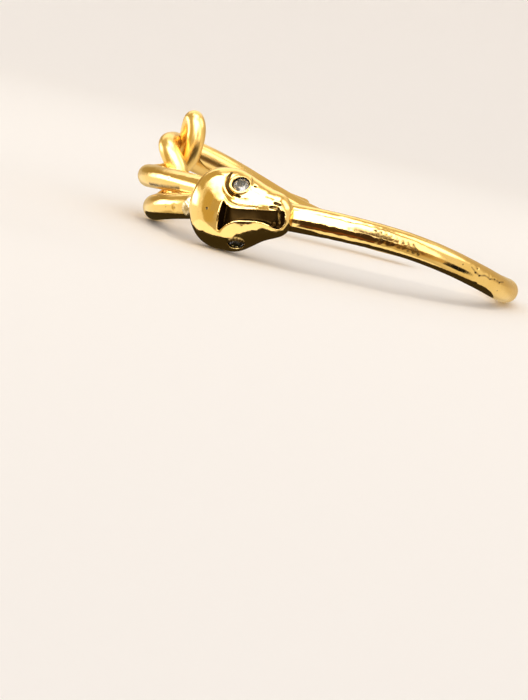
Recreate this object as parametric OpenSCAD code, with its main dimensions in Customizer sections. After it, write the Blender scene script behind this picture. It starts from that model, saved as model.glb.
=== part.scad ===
// Snake cuff bracelet lying on its side.
// A round rod runs from one open end, under the snake's head and round the wrist to the other open end.
// The snake's body is a second strand: it leaves the back of the head, twists once round the rod and
// ends as a tail lying along it. Both strands and the head are one soldered piece.
// Millimetres, +Z up, the cuff's opening axis is Z, and the front of the cuff faces -Y.

/* [Cuff] */
// Width of the oval that the rod follows, to its middle
cuff_w = 65.4; // [60:0.2:72]
// Depth of that oval, to its middle
cuff_d = 55; // [50:0.2:60]
// Thickness of the plain rod
rod_d = 4.2; // [3.8:0.1:4.4]
// Thickness of the snake's body at the neck
body_d = 4.1; // [3.8:0.1:4.3]

/* [Head] */
// Width of the head across the cheeks
head_w = 13.3; // [12:0.1:13.6]
// Rise of the head over its middle line
head_rise = 4.9; // [4.4:0.1:5.2]
// Fall of the head under its middle line
head_fall = 3.3; // [2.8:0.1:3.6]
// Roll of the head about its length, down towards the surface
head_roll = 5; // [0:1:12]
// Depth of the channel between the brows
channel_deep = 1.1; // [0.6:0.1:1.4]

/* [Eyes] */
// Width of each eye stone
stone_d = 2.55; // [2:0.05:2.8]
// Gap all round each stone in its seat
stone_gap = 0.08; // [0.05:0.01:0.15]
// Wall of the collet round each stone
collet_wall = 0.34; // [0.25:0.01:0.5]
// Tilt of the upper eye away from the top of the head
eye_tilt = 40; // [32:1:46]
// Further tilt of the lower eye, which looks down past the cheek
lower_eye_more = 12; // [0:1:14]
// Lean of each eye towards the snout
eye_lean = 20; // [10:1:26]

/* [Finish] */
// Sides of each strand
strand_sides = 16; // [12:2:18]
// Curve steps between two points of a route
route_steps = 3; // [2:1:4]
// Sides of the head's cross-section
head_sides = 32; // [24:4:36]

/* [Hidden] */

gold = [0.86, 0.66, 0.28];
clear = [0.93, 0.95, 0.98];

// The oval's centre, seen from the middle of everything
oval_at = [1.6, -0.7, 0];

// Points of a route: angle round the oval, distance outside it, height, and part of the full thickness
rod_route = [
    [14, -0.3, 2.05, 0.96], [0, 0, 2.05, 1.04], [-20, 0, 2.6, 1.02], [-36, 0, 4.2, 1], [-54, 0, 6.4, 1],
    [-71, 0, 8, 1], [-88, 0, 8.4, 1], [-104, 0, 8.3, 1], [-118, 0, 7.4, 1.02], [-131, 0.2, 6.2, 1.05],
    [-144, 0.4, 4.9, 1.09], [-158, 0.5, 3.4, 1.12], [-172, 0.3, 2.25, 1.12], [-185, -0.4, 2.25, 1.09],
    [-191, -2.2, 5.3, 0.96], [-192.5, -1.6, 9, 0.93], [-192, 0.8, 11.6, 0.93], [-195.5, 2.6, 13.5, 0.93],
    [-203, 4, 13.6, 0.93], [-209.5, 6, 13.6, 0.95], [-215, 5.4, 13, 0.98], [-221.5, 2.8, 12, 1],
    [-230, 0.8, 10.6, 1], [-240, 0.2, 8.8, 1], [-250, 0, 6.9, 1], [-263, 0, 4.8, 1.02],
    [-277, 0, 3.7, 1.04], [-288, 0, 3.3, 1.04], [-298, 0, 3.3, 0.96]];
snake_route = [
    [-122, 1, 8.6, 0.96], [-134, -0.4, 8.6, 0.98], [-147, -1, 8.4, 1], [-160, -0.4, 8.2, 1],
    [-173, 1.2, 7.6, 1.02], [-183, 3, 7.2, 1.04], [-191, 3.4, 7, 1], [-197, 2, 7.8, 0.95],
    [-200, 0.4, 9.4, 0.9], [-200.5, -1.2, 11.4, 0.88], [-199, -2, 14.2, 0.86], [-199, -1.9, 17.4, 0.86],
    [-201, -0.2, 19.2, 0.86], [-204.5, 1.2, 17.8, 0.86], [-206, 1.6, 14.8, 0.86], [-208, 2.6, 12, 0.83],
    [-213, 3.8, 10.6, 0.81], [-222, 4.6, 9.6, 0.8], [-233, 4.2, 8.8, 0.78], [-244, 3.9, 7.8, 0.78],
    [-254, 3.7, 6.9, 0.76], [-259, 3.6, 6.6, 0.7]];

// The two ends of the head's middle line on the same oval
head_back_at = [-134.6, 1.8, 5.1];
head_tip_at = [-103.4, 2, 8.4];
// Sections of the head: part of its length, of its half width, of its rise, of its fall, and shift to the upper side
head_sections = [
    [0, 0.05, 0.08, 0.08, 0], [0.02, 0.38, 0.42, 0.44, 0.1], [0.07, 0.67, 0.72, 0.76, 0.3],
    [0.13, 0.85, 0.87, 0.92, 0.4], [0.2, 0.96, 0.96, 1, 0.5], [0.29, 1, 1, 1, 0.5], [0.37, 1.015, 0.97, 1, 0.4],
    [0.44, 1.015, 0.93, 0.98, 0.27], [0.5, 0.965, 0.88, 0.94, 0.25], [0.58, 0.865, 0.8, 0.88, 0.2],
    [0.66, 0.745, 0.74, 0.82, 0.2], [0.74, 0.64, 0.69, 0.75, 0.1], [0.8, 0.58, 0.66, 0.7, 0],
    [0.86, 0.54, 0.64, 0.66, 0], [0.91, 0.48, 0.58, 0.6, 0], [0.95, 0.37, 0.47, 0.5, 0],
    [0.985, 0.2, 0.28, 0.32, 0], [1, 0.04, 0.06, 0.08, 0]];
// Channel between the brows: part of the length, half width, part of the full depth, and place across the head
channel_run = [
    [0.475, 1.1, 1, 0.5], [0.52, 1.15, 1, 0.25], [0.6, 0.95, 1, 0], [0.74, 0.95, 1, -0.1], [0.83, 1.15, 1, -0.3],
    [0.895, 1.2, 0.9, -0.75]];
// The channel's back wall, under the edge of the crown, in the same columns
channel_back = [[0.47, 0.7, 0.9, 1.6], [0.44, 0.7, 0.6, -2.3]];
// Where each eye sits: part of the head's length, and distance to the side as part of the half width
upper_eye_at = [0.56, 0.76];
lower_eye_at = [0.52, 0.82];
// Rise of each collet over the skin
upper_collet_rise = 0.25;
lower_collet_rise = 0.06;
// Depth of the stone's edge under the skin
stone_sunk = 0.25;
seat_deep = 1.2;
// Nostrils, at each side of the channel's front end
nostril_along = 0.9;
nostril_aside = 1.75;
nostril_r = 0.5;

function smooth(a, b, c, d, t) =
    (pow(1 - t, 3) * a + (3 * pow(t, 3) - 6 * t * t + 4) * b
     + (-3 * pow(t, 3) + 3 * t * t + 3 * t + 1) * c + pow(t, 3) * d) / 6;
function unit(v) = v / norm(v);
// A place on the oval from its angle, distance outside and height
function on_oval(p) = oval_at + [(cuff_w / 2 + p[1]) * cos(p[0]), (cuff_d / 2 + p[1]) * sin(p[0]), p[2]];
// Smooth curve through the neighbourhood of a route's points, as [x, y, z, radius]
function curve(route, d) =
    let (p = [for (r = route) concat(on_oval(r), [r[3] * d / 2])],
         n = len(p),
         q = concat([p[0], p[0]], p, [p[n - 1], p[n - 1]]))
    concat([for (i = [0:n], k = [0:route_steps - 1]) smooth(q[i], q[i + 1], q[i + 2], q[i + 3], k / route_steps)],
           [p[n - 1]]);
function xyz(p) = [p[0], p[1], p[2]];
// Drops steps that are too short to carry a ring of their own
function thin(c, least = 0.5) =
    [for (i = 0, use = true, last = c[0]; i < len(c);
          i = i + 1, use = i < len(c) && norm(xyz(c[i]) - xyz(last)) >= least, last = use ? c[i] : last)
        if (use) c[i]];
function heading(c, i) =
    unit(xyz(c[min(i + 1, len(c) - 1)]) - xyz(c[max(i - 1, 0)]));
function across(v, t) = unit(v - (v * t) * t);
// Sideways directions carried along the curve without twist
function sideways(c) =
    [for (i = 0, s = across([0, 0, 1], heading(c, 0)); i < len(c);
          i = i + 1, s = i < len(c) ? across(s, heading(c, i)) : s) s];

// A round-ended strand swept along a curve
cap_angles = [70, 45, 20];
module strand(route, d) {
    c = thin(curve(route, d));
    n = len(c);
    s = sideways(c);
    t = [for (i = [0:n - 1]) heading(c, i)];
    rings = concat(
        [for (a = cap_angles) ring(xyz(c[0]) - t[0] * c[0][3] * sin(a), t[0], s[0], c[0][3] * cos(a))],
        [for (i = [0:n - 1]) ring(xyz(c[i]), t[i], s[i], c[i][3])],
        [for (k = [len(cap_angles) - 1:-1:0]) let (a = cap_angles[k])
            ring(xyz(c[n - 1]) + t[n - 1] * c[n - 1][3] * sin(a), t[n - 1], s[n - 1], c[n - 1][3] * cos(a))]);
    skin(rings);
}
function ring(at, t, s, r) =
    let (u = cross(t, s))
    [for (k = [0:strand_sides - 1]) let (a = 360 * k / strand_sides) at + r * (cos(a) * s + sin(a) * u)];
// Closed skin over a list of rings that all have the same count of points
module skin(rings) {
    m = len(rings[0]);
    n = len(rings);
    polyhedron(
        points = [for (r = rings, p = r) p],
        faces = concat(
            [[for (k = [0:m - 1]) k]],
            [for (i = [0:n - 2], k = [0:m - 1]) let (a = i * m + k, b = i * m + (k + 1) % m) [a, a + m, b]],
            [for (i = [0:n - 2], k = [0:m - 1]) let (a = i * m + k, b = i * m + (k + 1) % m) [b, a + m, b + m]],
            [[for (k = [m - 1:-1:0]) (n - 1) * m + k]]));
}

// The head's own frame: x from back to snout, y to the upper side, z out of the top
head_back = on_oval(head_back_at);
head_tip = on_oval(head_tip_at);
head_len = norm(head_tip - head_back);
head_x = unit(head_tip - head_back);
level_y = across([0, 0, 1], head_x);
level_z = cross(head_x, level_y);
head_y = cos(head_roll) * level_y + sin(head_roll) * level_z;
head_z = cos(head_roll) * level_z - sin(head_roll) * level_y;
module on_head() {
    multmatrix([
        [head_x[0], head_y[0], head_z[0], head_back[0]],
        [head_x[1], head_y[1], head_z[1], head_back[1]],
        [head_x[2], head_y[2], head_z[2], head_back[2]],
        [0, 0, 0, 1]]) children();
}
// A column of the head's sections at a part of its length
function section_at(u, col) = lookup(u, [for (h = head_sections) [h[0], h[col]]]);
function half_width(u) = head_w / 2 * section_at(u, 1);
function rise(u) = head_rise * section_at(u, 2);
function shift(u) = section_at(u, 4);
// Height of the head's top at a distance to the side
function top_at(u, y) = rise(u) * pow(max(1 - pow(abs(y - shift(u)) / half_width(u), 2.1), 0), 1 / 2.1);

module head_form() {
    round_by = 0.95;
    skin([for (h = head_sections)
        [for (k = [0:head_sides - 1]) let (a = 360 * k / head_sides, c = cos(a), s = sin(a))
            [h[0] * head_len,
             h[4] + head_w / 2 * h[1] * sign(c) * pow(abs(c), round_by),
             (s > 0 ? head_rise * h[2] : head_fall * h[3]) * sign(s) * pow(abs(s), round_by)]]]);
}
module pad(at) {
    translate([at[0] * head_len, at[3], top_at(at[0], at[3]) - channel_deep * at[2] + at[1]]) sphere(at[1], $fn = 20);
}
module channel() {
    hull() {
        pad(channel_back[0]);
        pad(channel_back[1]);
        pad(channel_run[0]);
    }
    for (i = [0:len(channel_run) - 2]) hull() {
        pad(channel_run[i]);
        pad(channel_run[i + 1]);
    }
}
module nostrils() {
    for (side = [-1, 1]) hull() {
        translate([nostril_along * head_len, side * nostril_aside, rise(nostril_along) - 0.1])
            sphere(nostril_r, $fn = 12);
        translate([(nostril_along - 0.04) * head_len, side * 1.1, rise(nostril_along) - 0.2])
            sphere(nostril_r, $fn = 12);
    }
}
module at_eye(at, side) {
    y = shift(at[0]) + side * at[1] * half_width(at[0]);
    translate([at[0] * head_len, y, top_at(at[0], y)]) 
        rotate([-side * (side > 0 ? eye_tilt : eye_tilt + lower_eye_more), eye_lean, 0]) children();
}
module collet(at, side) {
    at_eye(at, side) translate([0, 0, -seat_deep]) {
        r = stone_d / 2 + stone_gap + collet_wall;
        collet_rise = side > 0 ? upper_collet_rise : lower_collet_rise;
        hull() {
            cylinder(h = seat_deep + collet_rise * 0.5, r = r + 0.15, $fn = 28);
            cylinder(h = seat_deep + collet_rise, r = r - 0.06, $fn = 28);
        }
    }
}
module seat(at, side) {
    at_eye(at, side) translate([0, 0, -seat_deep])
        cylinder(h = seat_deep * 2, r = stone_d / 2 + stone_gap, $fn = 28);
}
module snake_head() {
    difference() {
        union() {
            head_form();
            collet(upper_eye_at, 1);
            collet(lower_eye_at, -1);
        }
        channel();
        nostrils();
        seat(upper_eye_at, 1);
        seat(lower_eye_at, -1);
    }
}
// Solder at the back of the head, where the rod passes it
module solder() {
    for (at = [[-132, 0.8, 5.2], [-128, 0.6, 8.2]]) hull() {
        translate(on_oval(at)) sphere(1.9, $fn = 14);
        translate(on_oval(at + [7, 0.2, 0.6])) sphere(2.4, $fn = 14);
    }
}
module snake_cuff() {
    color(gold) union() {
        strand(rod_route, rod_d);
        strand(snake_route, body_d);
        on_head() snake_head();
        solder();
    }
}

// A round stone with a flat table and a pointed back
module stone(at, side) {
    girdle = 0.12;
    crown = 0.38;
    back = 0.95;
    color(clear) on_head() at_eye(at, side) translate([0, 0, -stone_sunk - girdle]) hull() {
        rotate([0, 0, 11.25]) cylinder(h = girdle, r = stone_d / 2, $fn = 16);
        translate([0, 0, girdle]) cylinder(h = crown, r = stone_d * 0.29, $fn = 8);
        translate([0, 0, -back]) cylinder(h = back, r = 0.08, $fn = 8);
    }
}
module eye_stone_upper() { stone(upper_eye_at, 1); }
module eye_stone_lower() { stone(lower_eye_at, -1); }

snake_cuff();
eye_stone_upper();
eye_stone_lower();
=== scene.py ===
"""Snake cuff bracelet lying on its side: round golden rod, twisted snake body, head with two faceted eyes.

The rod and the body are drawn wires with domed ends. The head is shaped in its own frame, with x from its
back to the snout, y to its upper side and z out of its top, and is then laid where the CAD head is.
Lengths are in millimetres and angles in degrees until they meet Blender.
"""
import math

import bmesh
import bpy
from mathutils import Matrix, Vector
from mathutils.bvhtree import BVHTree


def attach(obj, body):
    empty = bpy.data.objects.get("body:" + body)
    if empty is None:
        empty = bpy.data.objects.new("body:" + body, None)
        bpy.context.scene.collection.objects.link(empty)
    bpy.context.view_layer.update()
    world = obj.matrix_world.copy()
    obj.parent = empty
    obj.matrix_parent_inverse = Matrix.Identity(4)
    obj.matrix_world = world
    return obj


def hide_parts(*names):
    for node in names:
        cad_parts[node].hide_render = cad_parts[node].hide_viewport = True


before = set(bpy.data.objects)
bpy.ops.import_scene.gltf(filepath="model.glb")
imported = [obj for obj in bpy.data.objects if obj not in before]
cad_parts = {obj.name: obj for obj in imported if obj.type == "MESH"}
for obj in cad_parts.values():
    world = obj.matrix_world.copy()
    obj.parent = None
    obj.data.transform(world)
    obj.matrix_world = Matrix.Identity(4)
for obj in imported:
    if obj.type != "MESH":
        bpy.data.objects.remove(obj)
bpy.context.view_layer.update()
bpy.ops.object.select_all(action="DESELECT")

MM = 0.001

# The oval that both strands follow, as in the CAD
CUFF_W = 65.4
CUFF_D = 55
OVAL_AT = Vector((1.6, -0.7, 0))
ROD_THICK = 4.2
BODY_THICK = 4.1
# Part of the CAD's thickness, which leaves room for the small bumps inside the solids' box
STRAND_PART = 0.975

# Angle round the oval, distance outside it, height, and part of the full thickness
ROD_ROUTE = [
    (14, -0.3, 2.05, 0.96), (0, 0, 2.05, 1.04), (-20, 0, 2.6, 1.02), (-36, 0, 4.2, 1), (-54, 0, 6.4, 1),
    (-71, 0, 8, 1.02), (-88, 0, 8.3, 1.06), (-104, 0, 8.05, 1.12), (-118, 0, 7.2, 1.08),
    (-131, 0.2, 6.2, 1.05), (-144, 0.4, 4.9, 1.09), (-158, 0.5, 3.4, 1.12), (-172, 0.3, 2.25, 1.12),
    (-185, -0.4, 2.25, 1.09), (-191, -2.2, 5.3, 0.96), (-192.5, -1.6, 9, 0.93), (-192, 0.8, 11.6, 0.93),
    (-195.5, 2.6, 13.5, 0.93), (-203, 4, 13.6, 0.93), (-209.5, 6, 13.6, 0.95), (-215, 5.4, 13, 0.98),
    (-221.5, 2.8, 12, 1), (-230, 0.8, 10.6, 1), (-240, 0.2, 8.8, 1), (-250, 0, 6.9, 1),
    (-263, 0, 4.8, 1.02), (-277, 0, 3.7, 1.04), (-288, 0, 3.3, 1.04), (-298, 0, 3.3, 0.96)]
BODY_ROUTE = [
    (-122, 1, 8.6, 0.96), (-134, -0.4, 8.6, 0.98), (-147, -1, 8.4, 1), (-160, -0.4, 8.2, 1),
    (-173, 1.2, 7.6, 1.02), (-183, 3, 7.2, 1.04), (-191, 3.4, 7, 1), (-197, 2, 7.8, 0.95),
    (-200, 0.4, 9.4, 0.9), (-200.5, -1.2, 11.4, 0.88), (-199, -2, 14.2, 0.86), (-199, -1.9, 17.4, 0.86),
    (-201, -0.2, 19.2, 0.86), (-204.5, 1.2, 17.8, 0.86), (-206, 1.6, 14.8, 0.86), (-208, 2.6, 12, 0.83),
    (-213, 3.8, 10.6, 0.81), (-222, 4.6, 9.6, 0.8), (-233, 4.2, 8.8, 0.78), (-244, 3.9, 7.8, 0.78),
    (-254, 3.7, 6.9, 0.76), (-259, 3.6, 6.6, 0.7)]

# The head, as in the CAD
HEAD_BACK = (-134.6, 1.8, 5.1)
HEAD_TIP = (-103.4, 2, 8.4)
HEAD_ROLL = 5
HEAD_WIDTH = 13.3
HEAD_RISE = 4.9
HEAD_FALL = 3.3
# Part of the length, of the half width, of the rise and of the fall, and shift to the upper side
HEAD_SECTIONS = [
    (0, 0.05, 0.08, 0.08, 0), (0.02, 0.38, 0.42, 0.44, 0.1), (0.07, 0.67, 0.72, 0.76, 0.3),
    (0.13, 0.85, 0.87, 0.92, 0.4), (0.2, 0.96, 0.96, 1, 0.5), (0.29, 1, 1, 1, 0.5),
    (0.37, 1.015, 0.97, 1, 0.4), (0.44, 1.015, 0.93, 0.98, 0.27), (0.5, 0.965, 0.88, 0.94, 0.25),
    (0.58, 0.865, 0.8, 0.88, 0.2), (0.66, 0.745, 0.74, 0.82, 0.2), (0.74, 0.64, 0.69, 0.75, 0.1),
    (0.8, 0.58, 0.66, 0.7, 0), (0.86, 0.54, 0.64, 0.66, 0), (0.91, 0.48, 0.58, 0.6, 0),
    (0.95, 0.37, 0.47, 0.5, 0), (0.985, 0.2, 0.28, 0.32, 0), (1, 0.04, 0.06, 0.08, 0)]
# Power of the head's rounded section
HEAD_ROUND = 2.1
EYE_LEAN = 20
STONE_ACROSS = 2.55


def on_oval(angle, out, height):
    """A place in metres, from the angle round the oval, the distance outside it and the height."""
    turn = math.radians(angle)
    across, deep = CUFF_W / 2 + out, CUFF_D / 2 + out
    return (OVAL_AT + Vector((across * math.cos(turn), deep * math.sin(turn), height))) * MM


# Working with a piece

def clear():
    """Leaves nothing selected and edit mode closed."""
    if bpy.context.object and bpy.context.object.mode != "OBJECT":
        bpy.ops.object.mode_set(mode="OBJECT")
    bpy.ops.object.select_all(action="DESELECT")


def take(piece):
    """Makes a piece the only one in hand."""
    clear()
    piece.select_set(True)
    bpy.context.view_layer.objects.active = piece


def pick(piece, wanted, kind="VERT"):
    """Selects, in edit mode, the vertices or faces that wanted() says."""
    take(piece)
    bpy.ops.object.mode_set(mode="EDIT")
    bpy.ops.mesh.select_mode(type=kind)
    bpy.ops.mesh.select_all(action="DESELECT")
    shape = bmesh.from_edit_mesh(piece.data)
    for part in shape.verts if kind == "VERT" else shape.faces:
        if wanted(part):
            part.select_set(True)
    shape.select_flush_mode()
    bmesh.update_edit_mesh(piece.data)


def finish_with(piece, kind, **settings):
    """Adds a modifier with its settings and applies it."""
    take(piece)
    step = piece.modifiers.new(kind.title(), kind)
    for name, value in settings.items():
        setattr(step, name, value)
    bpy.ops.object.modifier_apply(modifier=step.name)


def join(pieces, name):
    """One piece out of several."""
    take(pieces[0])
    for piece in pieces:
        piece.select_set(True)
    bpy.ops.object.join()
    pieces[0].name = name
    return pieces[0]


def drop(piece):
    """Throws a helper piece away."""
    bpy.data.objects.remove(piece)


def tree_of(piece):
    """A finder of places on a piece's surface."""
    return BVHTree.FromPolygons([v.co for v in piece.data.vertices],
                                [p.vertices for p in piece.data.polygons])


def drawn_wire(name, points, thick, sides, steps):
    """A wire drawn along a smooth path. Each point is a place and a part of the full thickness."""
    clear()
    bpy.ops.curve.primitive_nurbs_path_add()
    wire = bpy.context.object
    wire.name = name
    path = wire.data.splines[0]
    held = [points[0]] * 2 + list(points) + [points[-1]] * 2
    path.points.add(len(held) - len(path.points))
    for point, (place, part) in zip(path.points, held):
        point.co = (*place, 1)
        point.radius = part
    path.order_u = 4
    path.use_endpoint_u = False
    wire.data.resolution_u = steps
    wire.data.bevel_depth = thick / 2
    wire.data.bevel_resolution = sides // 2 - 2
    wire.data.use_fill_caps = True
    bpy.ops.object.convert(target="MESH")
    take(wire)
    bpy.ops.object.mode_set(mode="EDIT")
    bpy.ops.mesh.select_all(action="SELECT")
    bpy.ops.mesh.remove_doubles(threshold=thick / 400)
    bpy.ops.mesh.normals_make_consistent(inside=False)
    bpy.ops.object.mode_set(mode="OBJECT")
    return wire


# Angles of a dome's rings, and how fully it is rounded: less than 1 leaves it blunter
DOME_RINGS = (14, 28, 42, 56, 70, 82)
DOME_FULLNESS = 0.65


def dome_end(wire, end, heading, radius):
    """Rounds a wire's flat end off, by small extrusions of its cap that draw in."""
    at, out = Vector(end), heading.normalized()
    pick(wire, lambda f: len(f.verts) == 3 and (f.calc_center_median() - end).length < radius * 1.1, "FACE")
    low = 0
    for high in DOME_RINGS:
        a, b = math.radians(low), math.radians(high)
        move = out * radius * (math.sin(b) - math.sin(a))
        bpy.ops.mesh.extrude_region_move(TRANSFORM_OT_translate={"value": move})
        at = at + move
        narrower = (math.cos(b) / math.cos(a)) ** DOME_FULLNESS
        bpy.ops.transform.resize(value=[narrower] * 3, center_override=at)
        low = high
    bpy.ops.object.mode_set(mode="OBJECT")


# Rod and snake body

def strand(name, route, thick):
    """A strand of the cuff along its route, with both of its ends domed."""
    points = [(on_oval(*stop[:3]), stop[3]) for stop in route]
    wire = drawn_wire(name, points, thick * MM, sides=40, steps=16)
    for (end, part), (before, _) in ((points[0], points[1]), (points[-1], points[-2])):
        dome_end(wire, end, end - before, thick * MM / 2 * part)
    return wire


def hand_finish(piece, size, depth, stretch=""):
    """Soft unevenness that hand filing and polishing leave in the metal, all over or on a named stretch."""
    waves = bpy.data.textures.new(piece.name + "_waves", "CLOUDS")
    waves.noise_scale = size * MM
    waves.noise_depth = 1
    finish_with(piece, "DISPLACE", texture=waves, texture_coords="LOCAL", strength=depth * MM, mid_level=0.5,
                vertex_group=stretch)


def name_stretch(piece, name, middle, reach):
    """Names the vertices round a place, fading out towards the reach."""
    group = piece.vertex_groups.new(name=name)
    for vert in piece.data.vertices:
        away = (vert.co / MM - Vector(middle)).length / reach
        if away < 1:
            group.add([vert.index], (1 - away * away) ** 2, "REPLACE")


def press(piece, place, reach, depth):
    """Pushes a small dent into a piece, or pulls a bump up where the depth is below nought."""
    middle = Vector(place)
    near = min(piece.data.vertices, key=lambda v: (v.co - middle).length_squared)
    chosen, push = near.index, near.normal * -depth
    pick(piece, lambda v: v.index == chosen)
    bpy.ops.transform.translate(value=push, use_proportional_edit=True, proportional_size=reach,
                                proportional_edit_falloff="SMOOTH", use_proportional_connected=True)
    bpy.ops.object.mode_set(mode="OBJECT")


def scratch(piece, start, end, count, reach, depth):
    """A row of dents that run into one another."""
    for step in range(count):
        press(piece, Vector(start).lerp(Vector(end), step / (count - 1)) * MM, reach * MM, depth * MM)


# Cast pits in the strands: place, reach and depth
ROD_PITS = [
    ((22, -24, 6.7), 0.45, 0.1), ((24.9, -21.8, 6.3), 0.4, 0.1), ((27.4, -19.7, 5.5), 0.4, 0.09),
    ((29.8, -17, 3.1), 0.45, 0.09), ((24.9, -21, 3.7), 0.7, 0.12), ((-29.5, -13.5, 5.2), 0.32, 0.1),
    ((-27.8, -16.9, 4.1), 0.32, 0.1), ((-26.1, -18.8, 4.3), 1, 0.14)]
BODY_PITS = [
    ((-31.9, -7.4, 6.4), 0.32, 0.1), ((-33.4, -2.7, 5.5), 0.32, 0.1), ((-28.7, -13.4, 8.6), 0.32, 0.1)]
# Where the wire was worked beside the head: start and end of the first and of the last slanting mark
WORKED_FIRST = ((6.6, -29.3, 9.1), (7.9, -29.2, 7.9))
WORKED_LAST = ((13.0, -28.0, 8.2), (14.2, -27.6, 6.9))
WORKED_MARKS = 8
MARKS = [[Vector(a).lerp(Vector(b), mark / (WORKED_MARKS - 1)) for a, b in zip(WORKED_FIRST, WORKED_LAST)]
         for mark in range(WORKED_MARKS)]
# Hammered stretches: middle, reach, size of the dents and depth
HAMMERED = [((3, -29.5, 8), 14, 0.8, 0.07), ((8, -29, 8), 10, 0.45, 0.035), ((27, -19, 5), 8, 0.9, 0.05)]
# The lip where the end was hammered over
LIP = [(23.7, -22.8, 6.5), (24.6, -22.2, 5.7), (25.5, -21.5, 5.3), (26.5, -20.6, 5.45), (27.6, -19.6, 5.0),
       (28.6, -18.6, 5.05), (29.6, -17.4, 4.65), (30.6, -16.0, 4.7)]

rod = strand("rod", ROD_ROUTE, ROD_THICK * STRAND_PART)
body = strand("snake_body", BODY_ROUTE, BODY_THICK * STRAND_PART)
for piece, pits in ((rod, ROD_PITS), (body, BODY_PITS)):
    finish_with(piece, "SUBSURF", levels=1, render_levels=1)
    hand_finish(piece, 7, 0.05)
    hand_finish(piece, 1.7, 0.03)
    if piece is rod:
        for middle, reach, size, depth in HAMMERED:
            name_stretch(rod, "hammered", middle, reach)
            hand_finish(rod, size, depth, "hammered")
            rod.vertex_groups.clear()
    for place, reach, depth in pits:
        press(piece, Vector(place) * MM, reach * MM, depth * MM)
for start, end in MARKS:
    scratch(rod, start, end, 3, 0.5, 0.05)
for start, end in zip(LIP, LIP[1:]):
    scratch(rod, start, end, 4, 0.42, 0.07)

# Head

head_back, head_tip = on_oval(*HEAD_BACK), on_oval(*HEAD_TIP)
HEAD_LENGTH = (head_tip - head_back).length / MM
head_x = (head_tip - head_back).normalized()
level_y = (Vector((0, 0, 1)) - head_x * head_x.z).normalized()
level_z = head_x.cross(level_y)
roll = math.radians(HEAD_ROLL)
head_y = math.cos(roll) * level_y + math.sin(roll) * level_z
head_z = math.cos(roll) * level_z - math.sin(roll) * level_y
head_turn = Matrix((head_x, head_y, head_z)).transposed().to_4x4()
ON_HEAD = Matrix.Translation(head_back) @ head_turn @ Matrix.Scale(MM, 4)

# The crown swells towards the edge of the hollow, the brows stand up on both of its sides, and the skin dips
# round the nostril: place in the head's frame, reach and lift
HEAD_SWELLS = [
    ((7.6, -0.5, 5), 6, 0.75), ((12.5, 3.2, 4), 3, 0.15), ((9.5, -4.4, 3.5), 3, 0.2),
    ((16.5, 2, 4), 0.9, -0.15)]


def section(along, column):
    """A column of the head's sections at a part of its length."""
    for a, b in zip(HEAD_SECTIONS, HEAD_SECTIONS[1:]):
        if along <= b[0]:
            return a[column] + (b[column] - a[column]) * (along - a[0]) / (b[0] - a[0])
    return HEAD_SECTIONS[-1][column]


def head_form():
    """The plain egg of the head: a ball whose rings are set to the sections one by one."""
    clear()
    count = len(HEAD_SECTIONS) - 1
    # Rings that are set are held this much further on, so that none is taken twice
    held = 10
    bpy.ops.mesh.primitive_uv_sphere_add(segments=48, ring_count=count, radius=1,
                                         rotation=(0, math.radians(90), 0))
    head = bpy.context.object
    head.name = "snake_head"
    bpy.ops.object.transform_apply(location=True, rotation=True, scale=True)
    for ring, (along, width, rise, fall, shift) in enumerate(HEAD_SECTIONS):
        level = -math.cos(math.pi * ring / count)
        reach = math.sin(math.pi * ring / count)
        for vert in head.data.vertices:
            if abs(vert.co.x - level) < 0.001:
                y, z = (vert.co.y / reach, vert.co.z / reach) if reach > 0.01 else (0, 0)
                vert.co = Vector((along * HEAD_LENGTH + held, shift + HEAD_WIDTH / 2 * width * y,
                                  (HEAD_RISE * rise if z > 0 else HEAD_FALL * fall) * z))
    for vert in head.data.vertices:
        vert.co.x -= held
    finish_with(head, "SUBSURF", levels=2, render_levels=2)
    return head


head = head_form()
for place, reach, lift in HEAD_SWELLS:
    press(head, place, reach, -lift)
skin_tree = tree_of(head)


def on_skin(x, y, lift=0.0):
    """A place on or over the uncut skin, straight above x and y."""
    hit = skin_tree.ray_cast(Vector((x, y, 30)), Vector((0, 0, -1)))[0]
    return Vector((x, y, (hit.z if hit else 0.0) + lift))


def groove(name, points, thick):
    """A tapering wire along the skin. Each point is x, y, lift over the skin and part of the thickness."""
    stops = [(on_skin(x, y, lift), part) for x, y, lift, part in points]
    return drawn_wire(name, stops, thick, sides=14, steps=6)


def ball(name, place, size):
    """A small ball, for a pit or a bead."""
    clear()
    bpy.ops.mesh.primitive_uv_sphere_add(segments=20, ring_count=12, radius=size, location=place)
    made = bpy.context.object
    made.name = name
    bpy.ops.object.transform_apply(location=True, rotation=True, scale=True)
    return made


def eye_frame(along, aside, side, tilt):
    """Where an eye sits: middle on the skin, and turned away from the top and towards the snout."""
    width, rise, shift = (section(along, column) for column in (1, 2, 4))
    y = shift + side * aside * HEAD_WIDTH / 2 * width
    z = HEAD_RISE * rise * (1 - aside ** HEAD_ROUND) ** (1 / HEAD_ROUND)
    lean = Matrix.Rotation(math.radians(EYE_LEAN), 4, "Y")
    return (Matrix.Translation((along * HEAD_LENGTH, y, z)) @ lean
            @ Matrix.Rotation(math.radians(-side * tilt), 4, "X"))


# Part of the head's length, part of its half width, side and tilt of each eye
EYES = {"upper": eye_frame(0.56, 0.76, 1, 40), "lower": eye_frame(0.52, 0.82, -1, 52)}


def ring_round(name, eye, reach, thick, start, stop, lift, ends):
    """A bowed wire round an eye, from one angle to another, with its ends a part as thick as its middle."""
    points, count = [], 9
    for step in range(count):
        turn = math.radians(start + (stop - start) * step / (count - 1))
        part = ends + (1 - ends) * math.sin(math.pi * step / (count - 1))
        points.append((eye @ Vector((reach * math.cos(turn), reach * math.sin(turn), lift)), part))
    return drawn_wire(name, points, thick, sides=16, steps=6)


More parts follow.
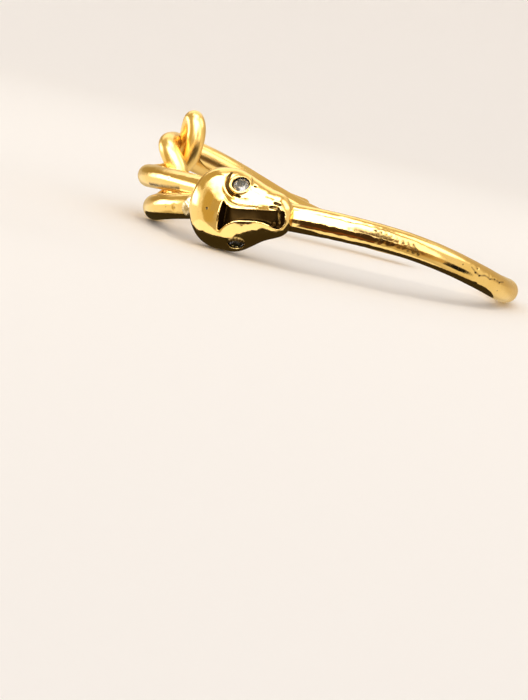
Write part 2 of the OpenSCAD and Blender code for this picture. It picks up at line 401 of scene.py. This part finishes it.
def tube(name, eye, radius, low, high):
    """A round bar in an eye's direction, from one height over the skin to another."""
    clear()
    bpy.ops.mesh.primitive_cylinder_add(vertices=40, radius=radius, depth=high - low,
                                        location=(0, 0, (low + high) / 2))
    made = bpy.context.object
    made.name = name
    bpy.ops.object.transform_apply(location=True, rotation=True, scale=True)
    made.data.transform(eye)
    return made


def united(piece, others, how):
    """Joins the others and adds them to a piece, or takes them away from it."""
    tool = join(others, "tool")
    finish_with(piece, "BOOLEAN", operation=how, object=tool, solver="EXACT", use_self=True)
    drop(tool)


def recess(name, rims, depth):
    """A flat-bottomed hollow: a strip between two rims, set over the skin, whose floor is pushed in."""
    clear()
    over = 0.8
    bpy.ops.mesh.primitive_grid_add(x_subdivisions=len(rims) - 1, y_subdivisions=1, size=2)
    made = bpy.context.object
    made.name = name
    columns = sorted(made.data.vertices, key=lambda v: (round(v.co.x, 4), v.co.y))
    for stop, (upper, lower) in enumerate(rims):
        for vert, place in ((columns[2 * stop], lower), (columns[2 * stop + 1], upper)):
            vert.co = on_skin(*place, over)
    pick(made, lambda f: True, "FACE")
    bpy.ops.mesh.extrude_region_move(TRANSFORM_OT_translate={"value": (0, 0, -over - depth)})
    bpy.ops.mesh.select_all(action="SELECT")
    bpy.ops.mesh.quads_convert_to_tris()
    bpy.ops.mesh.normals_make_consistent(inside=False)
    bpy.ops.object.mode_set(mode="OBJECT")
    return made


# Rims of the hollow between the brows, from the crown's edge to the snout: upper rim, lower rim
HOLLOW = [
    ((8.17, 2.12), (7.19, -2.84)), ((8.75, 1.5), (7.75, -2.48)), ((9.53, 0.94), (8.84, -1.62)),
    ((10.8, 0.78), (9.83, -1.1)), ((12.2, 0.78), (10.8, -0.89)), ((13.7, 0.8), (13.2, -0.93)),
    ((15.2, 0.8), (14.4, -1.1)), ((16.1, 0.8), (15.33, -1.45)), ((16.84, 0.8), (15.88, -1.9)),
    ((17.3, 0.82), (16.4, -2.1)), ((17.55, 0.7), (17.0, -1.95)), ((17.66, 0.1), (17.55, -1.1))]
HOLLOW_DEPTH = 1.5
# Lines on the head: x, y, lift over the skin and part of the line's full thickness
UPPER_LID_LINE = [
    (8.05, 6.28, 0, 0.4), (7.85, 5.66, -0.08, 0.9), (7.95, 4.9, -0.1, 1), (8.3, 4.14, -0.1, 1),
    (9.0, 3.5, -0.1, 1), (9.92, 2.97, -0.05, 0.8), (10.6, 2.75, 0.05, 0.3)]
UPPER_FRONT_LINE = [(10.7, 5.9, 0.05, 0.4), (11.4, 5.3, 0, 1), (11.85, 4.5, 0.05, 0.5)]
LIP_LINE = [
    (8.1, 3.1, 0.08, 0.6), (8.6, 2.45, 0.03, 1), (9.2, 1.9, 0.02, 1), (10.1, 1.45, 0.02, 1),
    (11.4, 1.25, 0.02, 0.9), (13.2, 1.2, 0.04, 0.8), (15.0, 1.25, 0.1, 0.4)]
NOSTRIL_LINE = [(15.6, 1.35, 0, 0.7), (16.2, 1.3, -0.05, 1), (16.8, 1.1, -0.1, 1), (17.1, 0.5, -0.1, 1)]
NOSTRIL = [(16.15, 2.0, 0.04, 0.7), (16.5, 1.92, 0, 1), (16.9, 1.77, 0.04, 0.7)]
NOSTRIL_POST = [(16.9, 1.0, -0.2, 1), (16.85, 0.2, -0.35, 1), (16.8, -1.3, -0.6, 1)]
LOWER_NOSTRIL = (15.9, -1.25, -0.95)
# Cast pits in the head: place across the skin and radius
HEAD_PITS = [((12.34, 4.35), 0.22), ((5.57, 0.75), 0.18)]
# Room round the stones in their seats
UPPER_PLAY, LOWER_PLAY = 0.16, 0.08
# Edge of the grid on which the cut head is made one skin
HEAD_GRID = 0.097

raised = [
    tube("upper_collet", EYES["upper"], 1.52, -1.8, 0.04),
    ring_round("upper_lid", EYES["upper"], 1.74, 0.64, 105, 315, -0.06, 0.2),
    ring_round("upper_brow", EYES["upper"], 2.72, 0.7, 112, 258, -0.42, 0.15),
    tube("lower_collet", EYES["lower"], 1.5, -1.8, -0.05),
]
carved = [
    recess("hollow", HOLLOW, HOLLOW_DEPTH),
    tube("upper_seat", EYES["upper"], STONE_ACROSS / 2 + UPPER_PLAY, -1.2, 1.2),
    tube("lower_seat", EYES["lower"], STONE_ACROSS / 2 + LOWER_PLAY, -1.2, 1.2),
    groove("upper_lid_line", UPPER_LID_LINE, 0.66),
    groove("upper_front_line", UPPER_FRONT_LINE, 0.42),
    groove("lip_line", LIP_LINE, 0.5),
    groove("nostril_line", NOSTRIL_LINE, 0.6),
    groove("nostril", NOSTRIL, 0.6),
]
carved += [ball("pit", on_skin(*place, -0.1), size) for place, size in HEAD_PITS]
added = [
    groove("nostril_post", NOSTRIL_POST, 0.45),
    ball("lower_nostril", on_skin(*LOWER_NOSTRIL), 0.5),
    ring_round("lower_lid", EYES["lower"], 1.22, 0.36, 20, 160, 0.03, 0.5),
]
united(head, raised, "UNION")
united(head, carved, "DIFFERENCE")
united(head, added, "UNION")
finish_with(head, "REMESH", mode="VOXEL", voxel_size=HEAD_GRID, adaptivity=0)
finish_with(head, "SMOOTH", factor=0.5, iterations=8)

# Where the metal's colour is darkened: mostly painted shade and painted dark reflections, partly patina

# Depth under the uncut skin, and under the skin eased round a vertex, at which the painted shade of recesses
# and creases is full
RECESS_SHADE_DEPTH = 0.6
CREASE_SHADE_DEPTH = 0.09
# How near another piece the painted shade between pieces begins, and how dark it is where they touch
JOINT_SHADE_REACH = 0.45
JOINT_SHADE = 0.42
# Stretches of painted shade and painted dark reflection on the strands: start, end, reach and how dark
ROD_PAINTED_DARK = [
    # Painted dark reflection on the worked stretch beside the head
    ((3.4, -29.9, 8.7), (9.2, -29.1, 8.5), 0.9, 0.5),
    # Painted shade along the crease where the body lies on the rod, over the rod's pits
    ((-31.5, -9.5, 5.2), (-25.5, -18.6, 5.6), 0.8, 0.42)]
# Painted shade in the groove along the hammered lip
ROD_PAINTED_DARK += [(start, end, 0.36, 0.5) for start, end in zip(LIP, LIP[1:])]
# Painted dark reflection over the worked marks
ROD_PAINTED_DARK += [(start, end, 0.5, 0.8) for start, end in MARKS]
# Painted shade along the body's side of the crease where it lies on the rod
BODY_PAINTED_SHADE = [((-32.4, -6.5, 6.3), (-26.2, -16.3, 7.5), 0.9, 0.55)]
# Painted shade in the head's grooves and nostril: line, reach and how dark
LINE_SHADE = [(NOSTRIL, 0.4, 1.4), (NOSTRIL_LINE, 0.4, 1.3), (UPPER_LID_LINE, 0.4, 1.1)]
# Painted shade on the lower eye's collet: angles round the eye, distance from its middle, reach and how dark
SHADE_ANGLES = range(40, 150, 20)
SHADE_OUT, SHADE_REACH, SHADE_DARK = 1.35, 0.8, 0.75
# Darkening round a pit of the head: reach to the pit's radius, and how dark
PIT_REACH, PIT_DARK = 1.8, 1.5
# The lumpy stretch of the head: middle, reach, size of the lumps and height
CHEEK = ((-14, -29.5, 3.5), 7, 1.8, 0.16)


def below_skin(place):
    """How far a place in the head's frame lies under the uncut skin."""
    near, out, _, away = skin_tree.find_nearest(place)
    return away if (place - near).dot(out) < 0 else 0.0


def note_painted_darkening(piece, below=None):
    """Notes at each vertex how dark it is painted, from the shade of its own crease and from the darkening
    worked out before.
    """
    soft = piece.copy()
    soft.data = piece.data.copy()
    bpy.context.collection.objects.link(soft)
    finish_with(soft, "SMOOTH", factor=0.5, iterations=30)
    depths = []
    for index, (vert, eased) in enumerate(zip(piece.data.vertices, soft.data.vertices)):
        crease = (eased.co - vert.co).dot(vert.normal) / (CREASE_SHADE_DEPTH * MM)
        depths.append(min(1.0, max(0.0, crease, below[index] if below else 0.0)))
    drop(soft)
    piece.data.attributes.new("hollow", "FLOAT", "POINT").data.foreach_set("value", depths)


def darken_stretch(piece, depths, start, end, reach, part):
    """Darkens a stretch between two places, fading out towards the reach."""
    start, along = Vector(start), Vector(end) - Vector(start)
    for index, vert in enumerate(piece.data.vertices):
        way = vert.co / MM - start
        step = min(1.0, max(0.0, way.dot(along) / max(along.length_squared, 0.01)))
        depths[index] = max(depths[index], part * (1 - (way - along * step).length / reach))


def joint_shade_parts(piece, others):
    """How much painted shade each vertex gets by lying near the other pieces: most where they touch."""
    found = [0.0] * len(piece.data.vertices)
    for tree in map(tree_of, others):
        for index, vert in enumerate(piece.data.vertices):
            away = tree.find_nearest(vert.co, JOINT_SHADE_REACH * MM)[3]
            if away is not None:
                found[index] = max(found[index], JOINT_SHADE * (1 - away / (JOINT_SHADE_REACH * MM)))
    return found


def laid(place):
    """A place of the head's frame in the bracelet's."""
    return ON_HEAD @ place / MM


# Painted shade in the head's recesses, fuller the further a place lies under the uncut skin
head_depths = [below_skin(v.co) / RECESS_SHADE_DEPTH for v in head.data.vertices]
head.data.transform(ON_HEAD)
hand_finish(head, 5, 0.08)
hand_finish(head, 1.4, 0.035)
middle, reach, size, height = CHEEK
name_stretch(head, "cheek", middle, reach)
hand_finish(head, size, height, "cheek")
# Darkening round the head's pits
for place, size in HEAD_PITS:
    middle = laid(on_skin(*place))
    darken_stretch(head, head_depths, middle, middle, size * PIT_REACH, PIT_DARK)
# Painted shade along the grooves and in the nostril
for line, reach, part in LINE_SHADE:
    stops = [laid(on_skin(*stop[:3])) for stop in line]
    for start, end in zip(stops, stops[1:]):
        darken_stretch(head, head_depths, start, end, reach, part)
# Painted shade on the lower eye's collet
for angle in SHADE_ANGLES:
    turn = math.radians(angle)
    over_eye = laid(EYES["lower"] @ Vector((SHADE_OUT * math.cos(turn), SHADE_OUT * math.sin(turn), 0)))
    darken_stretch(head, head_depths, over_eye, over_eye, SHADE_REACH, SHADE_DARK)
note_painted_darkening(head, head_depths)
# Painted shade where each strand lies near the other pieces, then its stretches of painted shade and painted
# dark reflection
for piece, others, dark_stretches in ((rod, (body, head), ROD_PAINTED_DARK), (body, (rod, head), BODY_PAINTED_SHADE)):
    depths = joint_shade_parts(piece, others)
    for start, end, reach, part in dark_stretches:
        darken_stretch(piece, depths, start, end, reach, part)
    note_painted_darkening(piece, depths)

# Solder

SOLDER_AT = (-23.5, -20.15, 5.3)
SOLDER_RADIUS = 1.15
SOLDER_STRETCH = (1.05, 1.05, 1.5)


def solder_fillet():
    """The rough lump of solder between the head and the rod behind it."""
    clear()
    bpy.ops.mesh.primitive_ico_sphere_add(subdivisions=5, radius=SOLDER_RADIUS * MM,
                                          location=Vector(SOLDER_AT) * MM)
    made = bpy.context.object
    made.name = "solder_fillet"
    made.scale = SOLDER_STRETCH
    bpy.ops.object.transform_apply(location=True, rotation=True, scale=True)
    hand_finish(made, 0.9, 0.3)
    hand_finish(made, 0.3, 0.08)
    note_painted_darkening(made)
    return made


solder = solder_fillet()

# Eye stones

# Rings of corners, from the girdle to the table and then to the point at the back: corners, part of the
# radius, height over the skin, and turn in parts of a corner
STONE_RINGS = [
    (16, 1, -0.37, 0.5), (16, 1, -0.29, 0.5), (8, 0.8, -0.12, 0), (8, 0.56, 0.01, 0.5), (8, 0.6, -0.82, 0.5),
    (3, 0, -1.25, 0)]


def cut_stone(name, eye):
    """A round brilliant, with flat facets stretched over its rings of corners."""
    rings = []
    for corners, part, height, turn in STONE_RINGS:
        clear()
        turned = math.radians(360) * turn / corners
        bpy.ops.mesh.primitive_circle_add(vertices=corners, radius=STONE_ACROSS / 2 * part,
                                          location=(0, 0, height), rotation=(0, 0, turned))
        bpy.ops.object.transform_apply(location=True, rotation=True, scale=True)
        rings.append(bpy.context.object)
    stone = join(rings, name)
    bpy.ops.object.mode_set(mode="EDIT")
    bpy.ops.mesh.select_all(action="SELECT")
    bpy.ops.mesh.remove_doubles(threshold=0.001)
    bpy.ops.mesh.convex_hull(join_triangles=False)
    bpy.ops.mesh.normals_make_consistent(inside=False)
    bpy.ops.object.mode_set(mode="OBJECT")
    stone.data.transform(eye)
    stone.data.transform(ON_HEAD)
    return stone


stones = {side: cut_stone("cut_stone_" + side, EYES[side]) for side in EYES}

# Materials

GOLD_DEEP, GOLD_LIGHT = (0.93, 0.65, 0.24), (0.96, 0.7, 0.3)
# Dark brown painted into the gold where it is noted as hollow: mostly painted shade and painted dark
# reflections, partly patina
SHADE_AND_PATINA = (0.05, 0.028, 0.008)
SOLDER_DEEP, SOLDER_LIGHT = (0.5, 0.38, 0.2), (0.9, 0.78, 0.55)
STONE_SMOKE, STONE_CLEAR = (0.06, 0.06, 0.07), (0.5, 0.52, 0.57)
# Where the buffing wheel could not reach, the metal kept a satin look: middle, reach and roughness
SATIN = [((-26, 11, 14), 19, 0.28), ((34.5, -9, 3), 4.5, 0.3)]


def nodes_of(name):
    """A new material, its nodes and its shader."""
    material = bpy.data.materials.new(name)
    material.use_nodes = True
    tree = material.node_tree
    return material, tree, tree.nodes["Principled BSDF"]


def spots(tree, size, detail=3.0, rough=0.6, stretch=(1, 1, 1)):
    """Soft noise in the piece's own place, with features about size millimetres across."""
    place = tree.nodes.new("ShaderNodeTexCoord")
    turn = tree.nodes.new("ShaderNodeMapping")
    turn.inputs["Scale"].default_value = stretch
    made = tree.nodes.new("ShaderNodeTexNoise")
    made.inputs["Scale"].default_value = 1 / (size * MM)
    made.inputs["Detail"].default_value = detail
    made.inputs["Roughness"].default_value = rough
    tree.links.new(place.outputs["Object"], turn.inputs["Vector"])
    tree.links.new(turn.outputs["Vector"], made.inputs["Vector"])
    return made.outputs["Fac"]


def ramp(tree, source, stops):
    """A blend of colours or greys along a value."""
    made = tree.nodes.new("ShaderNodeValToRGB")
    while len(made.color_ramp.elements) < len(stops):
        made.color_ramp.elements.new(0.5)
    for element, (place, colour) in zip(made.color_ramp.elements, stops):
        element.position = place
        element.color = (*colour, 1) if isinstance(colour, tuple) else (colour, colour, colour, 1)
    tree.links.new(source, made.inputs["Fac"])
    return made.outputs["Color"]


def bumps(tree, heights, strength, distance, before=None):
    """Relief from a value, on top of the relief before it."""
    made = tree.nodes.new("ShaderNodeBump")
    made.inputs["Strength"].default_value = strength
    made.inputs["Distance"].default_value = distance * MM
    tree.links.new(heights, made.inputs["Height"])
    if before:
        tree.links.new(before, made.inputs["Normal"])
    return made.outputs["Normal"]


def reckon(tree, how, first, second=None):
    """One step of arithmetic on values or sockets."""
    made = tree.nodes.new("ShaderNodeMath")
    made.operation = how
    for socket, value in zip(made.inputs, (first, second)):
        if isinstance(value, (int, float)):
            socket.default_value = value
        elif value is not None:
            tree.links.new(value, socket)
    return made.outputs[0]


def blend(tree, part, under, over):
    """A colour over another, by a part from 0 to 1."""
    made = tree.nodes.new("ShaderNodeMix")
    made.data_type = "RGBA"
    tree.links.new(part, made.inputs["Factor"])
    for socket, colour in ((made.inputs[6], under), (made.inputs[7], over)):
        if isinstance(colour, tuple):
            socket.default_value = (*colour, 1)
        else:
            tree.links.new(colour, socket)
    return made.outputs[2]


def pinholes(tree, size, share):
    """Tiny round pits, a few to each patch of the given size in millimetres."""
    place = tree.nodes.new("ShaderNodeTexCoord")
    cells = tree.nodes.new("ShaderNodeTexVoronoi")
    cells.inputs["Scale"].default_value = 1 / (size * MM)
    tree.links.new(place.outputs["Object"], cells.inputs["Vector"])
    hole = ramp(tree, cells.outputs["Distance"], [(0.05, 1.0), (0.13, 0.0)])
    chosen = ramp(tree, cells.outputs["Color"], [(1 - share - 0.02, 0.0), (1 - share, 1.0)])
    return reckon(tree, "MULTIPLY", hole, chosen)


def polished_gold():
    """Gold with patchy painted shade, painted dark reflections and some patina where it is noted as hollow,
    darkened pinholes, satin stretches and fine scratches.
    """
    material, tree, shader = nodes_of("polished_gold")
    shader.inputs["Metallic"].default_value = 1
    tint = ramp(tree, spots(tree, 6), [(0.35, GOLD_DEEP), (0.65, GOLD_LIGHT)])
    # The hollow attribute holds the painted shade, painted dark reflections and darkened pits noted on each
    # piece
    noted = tree.nodes.new("ShaderNodeAttribute")
    noted.attribute_name = "hollow"
    uneven = reckon(tree, "ADD", spots(tree, 0.5, 4, 0.7), 0.6)
    patchy = reckon(tree, "MULTIPLY", noted.outputs["Fac"], uneven)
    dark = ramp(tree, patchy, [(0.22, 0.0), (0.62, 1.0)])
    holes = pinholes(tree, 1.1, 0.13)
    marked = reckon(tree, "MAXIMUM", dark, reckon(tree, "MULTIPLY", holes, 0.8))
    tree.links.new(blend(tree, marked, tint, SHADE_AND_PATINA), shader.inputs["Base Color"])
    wear = ramp(tree, spots(tree, 1.2, 5, 0.7), [(0.4, 0.06), (0.72, 0.2)])
    rough = reckon(tree, "MAXIMUM", wear, reckon(tree, "MULTIPLY", marked, 0.42))
    place = tree.nodes.new("ShaderNodeTexCoord")
    for middle, reach, finish in SATIN:
        away = tree.nodes.new("ShaderNodeVectorMath")
        away.operation = "DISTANCE"
        away.inputs[1].default_value = Vector(middle) * MM
        tree.links.new(place.outputs["Object"], away.inputs[0])
        out = reckon(tree, "DIVIDE", away.outputs["Value"], reach * MM)
        satin = ramp(tree, out, [(0.6, finish), (1.0, 0.0)])
        rough = reckon(tree, "MAXIMUM", rough, satin)
    tree.links.new(rough, shader.inputs["Roughness"])
    soft = bumps(tree, spots(tree, 2.2, 2), 0.3, 0.05)
    drawn = bumps(tree, spots(tree, 0.35, 3, 0.6, (0.1, 1, 1)), 0.22, 0.03, soft)
    fine = bumps(tree, spots(tree, 0.35, 4, 0.6), 0.14, 0.02, drawn)
    pitted = bumps(tree, reckon(tree, "SUBTRACT", 1, holes), 0.6, 0.04, fine)
    tree.links.new(pitted, shader.inputs["Normal"])
    return material


def pale_solder():
    """Paler and rougher metal, left as it set."""
    material, tree, shader = nodes_of("pale_solder")
    shader.inputs["Metallic"].default_value = 1
    tint = ramp(tree, spots(tree, 0.6, 4, 0.7), [(0.35, SOLDER_DEEP), (0.6, SOLDER_LIGHT)])
    tree.links.new(tint, shader.inputs["Base Color"])
    grain = ramp(tree, spots(tree, 0.3, 4, 0.7), [(0.35, 0.28), (0.7, 0.5)])
    tree.links.new(grain, shader.inputs["Roughness"])
    tree.links.new(bumps(tree, spots(tree, 0.25, 5, 0.7), 0.5, 0.06), shader.inputs["Normal"])
    return material


def clear_stone():
    """Clear stone, a little smoky in places."""
    material, tree, shader = nodes_of("clear_stone")
    shader.inputs["Transmission Weight"].default_value = 1
    shader.inputs["IOR"].default_value = 2.4
    shader.inputs["Roughness"].default_value = 0.0
    haze = ramp(tree, spots(tree, 0.5), [(0.42, STONE_SMOKE), (0.58, STONE_CLEAR)])
    tree.links.new(haze, shader.inputs["Base Color"])
    return material


gold = polished_gold()
stone_finish = clear_stone()
solder_finish = pale_solder()
for piece in (rod, body, head, solder):
    take(piece)
    bpy.ops.object.shade_smooth()
    piece.data.materials.clear()
    piece.data.materials.append(solder_finish if piece is solder else gold)
    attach(piece, "root")
    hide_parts("snake_cuff")
for side, stone in stones.items():
    stone.data.materials.append(stone_finish)
    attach(stone, "root")
    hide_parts("eye_stone_" + side)

# Studio

# The paper lies a hair under the bracelet, in metres
PAPER_LEVEL = -0.00005


def pale_paper():
    """Matt paper of the floor."""
    material, tree, shader = nodes_of("pale_paper")
    shader.inputs["Base Color"].default_value = (0.93, 0.89, 0.85, 1)
    shader.inputs["Roughness"].default_value = 0.9
    return material


def tent():
    """A round floor whose edge curves up into a low wall. Radius and sweep are in metres."""
    clear()
    radius, sweep = 1.2, 0.5
    at = Vector((0, 0, PAPER_LEVEL))
    bpy.ops.mesh.primitive_circle_add(vertices=96, radius=radius, fill_type="NGON", location=at)
    made = bpy.context.object
    made.name = "studio_floor"
    bpy.ops.object.transform_apply(location=True, rotation=True, scale=True)
    pick(made, lambda f: True, "FACE")
    bpy.ops.mesh.select_mode(type="EDGE")
    bpy.ops.mesh.region_to_loop()
    low = 0
    for high in range(10, 91, 10):
        a, b = math.radians(low), math.radians(high)
        up = sweep * (math.cos(a) - math.cos(b))
        out = sweep * (math.sin(b) - math.sin(a))
        bpy.ops.mesh.extrude_edges_move(TRANSFORM_OT_translate={"value": (0, 0, up)})
        at.z += up
        wider = (radius + out) / radius
        bpy.ops.transform.resize(value=(wider, wider, 1), center_override=at)
        radius += out
        low = high
    bpy.ops.object.mode_set(mode="OBJECT")
    bpy.ops.object.shade_smooth()
    made.data.materials.append(pale_paper())
    made.visible_glossy = False


def softbox(name, place, size, power):
    """A soft square light that looks at the bracelet's middle. Place and size are in metres."""
    clear()
    bpy.ops.object.light_add(type="AREA", location=place)
    light = bpy.context.object
    light.name = name
    light.data.shape = "SQUARE"
    light.data.size = size
    light.data.energy = power
    light.data.color = (1, 0.97, 0.93)
    light.visible_camera = light.visible_glossy = False
    light.rotation_euler = (Vector((0, 0, 0.008)) - Vector(place)).to_track_quat("-Z", "Y").to_euler()


def mirrored_only(made):
    """Leaves a backdrop to the metal's reflections alone."""
    made.visible_camera = made.visible_diffuse = made.visible_shadow = made.visible_transmission = False


def glow(name, colour):
    """A material that gives an even colour of its own."""
    material = bpy.data.materials.new(name)
    material.use_nodes = True
    tree = material.node_tree
    tree.nodes.clear()
    light = tree.nodes.new("ShaderNodeEmission")
    light.inputs["Color"].default_value = (*colour, 1)
    tree.links.new(light.outputs[0], tree.nodes.new("ShaderNodeOutputMaterial").inputs["Surface"])
    return material, tree, light


def card(name, outline, height, colour):
    """A card that lies flat at a height over the paper."""
    clear()
    bpy.ops.mesh.primitive_circle_add(vertices=len(outline), radius=1, fill_type="NGON")
    made = bpy.context.object
    made.name = name
    for vert, (x, y) in zip(made.data.vertices, outline):
        vert.co = Vector((x, y, height)) * MM
    made.data.materials.append(glow(name, colour)[0])
    mirrored_only(made)


# What stands round the work for the polished metal to mirror. The bearing to the right of straight in front,
# the height, half of the width and half of the height are in degrees. The edge's softness and colour follow.
WHITE = (4.6, 4.4, 4.2)
ROOM = (0.62, 0.5, 0.3)
PANELS = [
    ("right_wall", 105, 5, 50, 62, 0.25, (0.93, 0.8, 0.55)),
    ("back_wall", 180, 12, 70, 30, 0.25, (0.72, 0.57, 0.33)),
    ("back_ceiling", 155, 70, 70, 14, 0.3, (0.75, 0.6, 0.36)),
    ("paper", 0, -90, 181, 27, 0.1, (1.2, 1.08, 0.84)),
    ("top_panel", -35, 62, 75, 36, 0.12, WHITE),
    ("front_panel", 0, 14, 31, 20, 0.15, WHITE),
    ("roof_panel", 0, 90, 181, 13, 0.3, WHITE),
    ("snout_panel", 91, 50, 18, 17, 0.3, (3.2, 3.0, 2.6)),
    ("left_card", -96, -10, 16, 45, 0.4, (1.05, 0.92, 0.66)),
    ("warm_card", -66, -2, 20, 38, 0.2, (0.6, 0.42, 0.13)),
    ("small_panel", 46, 20, 13, 26, 0.3, (2.4, 2.2, 1.9)),
    ("brown_card", 22, 12, 14, 13, 0.35, (0.24, 0.15, 0.06)),
    ("low_card", 44, -24, 18, 16, 0.3, (0.62, 0.42, 0.17)),
    ("dusk_card", 36, -22, 12, 13, 0.4, (0.2, 0.11, 0.04)),
    ("front_flag", 3, -33, 27, 31, 0.1, (0.06, 0.033, 0.015)),
    ("ember_card", 5, -47, 18, 7, 0.6, (0.22, 0.07, 0.02)),
    ("side_flag", 70, -25, 9, 14, 0.2, (0.01, 0.01, 0.01)),
    ("top_strip", 12, 68, 34, 6, 0.4, (0.44, 0.33, 0.15)),
    ("end_panel", 138, 20, 30, 17, 0.25, (0.6, 0.46, 0.26)),
    ("eye_panel", -61, 65, 14, 6, 0.3, (0.9, 0.8, 0.62)),
    ("back_glow", -160, 42, 45, 17, 0.35, (1.5, 1.35, 1.05)),
    ("back_strip", -137, 12, 20, 9, 0.4, (0.44, 0.31, 0.11)),
    ("low_cream", -128, -20, 27, 15, 0.3, (1.15, 1.0, 0.7)),
    ("far_panel", -112, 2, 14, 8, 0.5, WHITE),
]


def mirrored_room():
    """A wide shell round the work with the panels painted on its inside."""
    clear()
    bpy.ops.mesh.primitive_uv_sphere_add(segments=64, ring_count=32, radius=2.2)
    made = bpy.context.object
    made.name = "mirrored_room"
    material, tree, light = glow("mirrored_room", ROOM)
    place = tree.nodes.new("ShaderNodeTexCoord")
    way = tree.nodes.new("ShaderNodeVectorMath")
    way.operation = "NORMALIZE"
    tree.links.new(place.outputs["Object"], way.inputs[0])
    parts = tree.nodes.new("ShaderNodeSeparateXYZ")
    tree.links.new(way.outputs[0], parts.inputs[0])
    ahead = reckon(tree, "MULTIPLY", parts.outputs["Y"], -1)
    bearing = reckon(tree, "DEGREES", reckon(tree, "ARCTAN2", parts.outputs["X"], ahead))
    height = reckon(tree, "DEGREES", reckon(tree, "ARCSINE", parts.outputs["Z"]))
    colour = ROOM
    for _, at, level, wide, high, soft, shade in PANELS:
        # How far round from the panel's middle, the short way
        straight = reckon(tree, "ABSOLUTE", reckon(tree, "SUBTRACT", bearing, at))
        round_back = reckon(tree, "SUBTRACT", 360, straight)
        part = reckon(tree, "DIVIDE", reckon(tree, "MINIMUM", straight, round_back), wide)
        across = reckon(tree, "POWER", part, 4)
        rise = reckon(tree, "ABSOLUTE", reckon(tree, "SUBTRACT", height, level))
        up = reckon(tree, "POWER", reckon(tree, "DIVIDE", rise, high), 4)
        away = reckon(tree, "POWER", reckon(tree, "ADD", across, up), 0.25)
        edge = tree.nodes.new("ShaderNodeMapRange")
        edge.interpolation_type = "SMOOTHSTEP"
        edge.inputs["From Min"].default_value = 1 - soft
        edge.inputs["From Max"].default_value = 1 + soft
        edge.inputs["To Min"].default_value = 1
        edge.inputs["To Max"].default_value = 0
        tree.links.new(away, edge.inputs["Value"])
        colour = blend(tree, edge.outputs[0], colour, shade)
    tree.links.new(colour, light.inputs["Color"])
    made.data.materials.append(material)
    mirrored_only(made)


def standing_card(name, place, wide, high, colour):
    """A card that stands in the air and faces the twist."""
    clear()
    bpy.ops.mesh.primitive_plane_add(size=1)
    made = bpy.context.object
    made.name = name
    made.scale = (wide * MM, high * MM, 1)
    made.rotation_euler = (Vector(SATIN[0][0]) - Vector(place)).to_track_quat("Z", "Y").to_euler()
    made.location = Vector(place) * MM
    bpy.ops.object.transform_apply(location=True, rotation=True, scale=True)
    made.data.materials.append(glow(name, colour)[0])
    mirrored_only(made)


# The dark card under the cuff: half of its oval's width and depth, and how far it reaches right and back
UNDER_HALF = (36.2, 28.4)
UNDER_EDGE = (30.5, -3)


def under_outline():
    """The oval under the cuff, cut off straight at the right end and behind the near arm."""
    turns = [2 * math.pi * k / 48 for k in range(48)]
    oval = [(OVAL_AT.x + UNDER_HALF[0] * math.cos(a), OVAL_AT.y + UNDER_HALF[1] * math.sin(a)) for a in turns]
    return [(min(x, UNDER_EDGE[0]), min(y, UNDER_EDGE[1])) for x, y in oval]


DARK = (0.043, 0.031, 0.013)
CREAM = (1.45, 1.3, 1.06)
OCHRE = (0.56, 0.42, 0.18)
DULL_GOLD = (0.68, 0.55, 0.33)
# Corners of the cards that lie flat
HEAD_CARD = [
    (-26, -21), (-22, -26.4), (-17.3, -28.6), (-15.4, -30.4), (-14.4, -32.6), (-12, -32.2), (-9.5, -31.4),
    (-4, -31), (0, -28), (0, -15), (-26, -15)]
CHEEK_CARD = [
    (-27, -21), (-22, -26), (-10, -31.4), (-7, -31.4), (-8, -38), (-18, -38), (-18.8, -29.8), (-24.5, -29),
    (-28, -26)]
FAR_CARD = [(-22, 75), (-22, 40), (-8, 26), (0, 14), (10, 4), (45, 0), (50, 75)]

tent()
mirrored_room()
card("under_card", under_outline(), 0.02, DARK)
card("head_card", HEAD_CARD, 0.03, DARK)
card("cheek_card", CHEEK_CARD, 0.01, CREAM)
card("far_card", FAR_CARD, 35, DULL_GOLD)
standing_card("side_card", (-80, 8, 56), 62, 60, OCHRE)
standing_card("low_side_card", (-48, -60, 18), 27, 27, OCHRE)
softbox("top_light", (0.1, 0.15, 0.55), 0.35, 0.12)

sky = bpy.data.worlds.new("studio_air")
bpy.context.scene.world = sky
sky.use_nodes = True
sky.node_tree.nodes["Background"].inputs["Color"].default_value = (1, 0.97, 0.945, 1)
sky.node_tree.nodes["Background"].inputs["Strength"].default_value = 0.9

# Camera

CAMERA_AT = (-6.11, -222.3, 22.91)
# How far it looks down, and how far the picture is turned
CAMERA_DOWN = 10.7
CAMERA_ROLL = 13.3

bpy.ops.object.camera_add()
camera = bpy.context.object
camera.name = "photo_camera"
camera.data.lens = 62.95
camera.data.sensor_width = 36
camera.data.clip_start = 0.01
camera.matrix_world = (Matrix.Translation(Vector(CAMERA_AT) * MM)
                       @ Matrix.Rotation(math.radians(90 - CAMERA_DOWN), 4, "X")
                       @ Matrix.Rotation(math.radians(CAMERA_ROLL), 4, "Z"))
bpy.context.scene.camera = camera
bpy.context.scene.view_settings.view_transform = "Standard"
